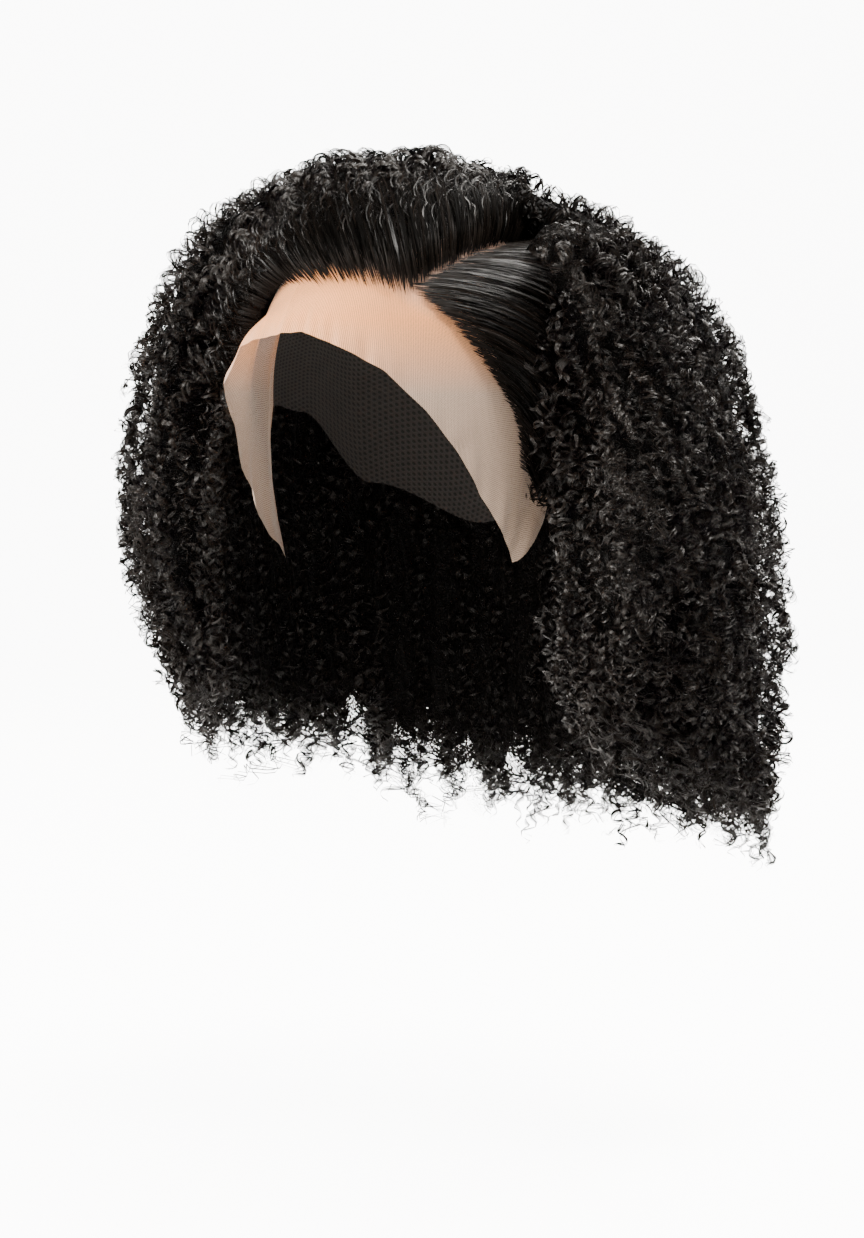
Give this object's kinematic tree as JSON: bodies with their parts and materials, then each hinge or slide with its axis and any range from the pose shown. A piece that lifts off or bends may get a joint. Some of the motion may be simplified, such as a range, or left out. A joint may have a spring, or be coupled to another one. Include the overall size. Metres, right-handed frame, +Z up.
{
  "type": "curly lace-front wig",
  "caption": "Shoulder-length lace-front wig with tight black curls, a side parting, a sheer untrimmed lace panel over the forehead and temples, and a net cap behind.",
  "frame": {"origin": "middle of the fitting band, where the cap sits on a head at brow level", "axes": "+Z up, -Y towards the face, +X towards the wearer's left"},
  "size_m": [0.3357, 0.2682, 0.3611],
  "materials": {
    "hair": "dark brown-black curled hair with a soft gloss",
    "lace": "sheer beige tulle lace",
    "cap_net": "matt black stretch net"
  },
  "bodies": {
    "root": {"lace_front": "lace", "wig_cap": "cap_net", "front_hair_left": "hair", "front_hair_right": "hair", "side_curls_left": "hair", "side_curls_right": "hair", "back_curls_left": "hair", "back_curls_right": "hair"}
  },
  "joints": []
}
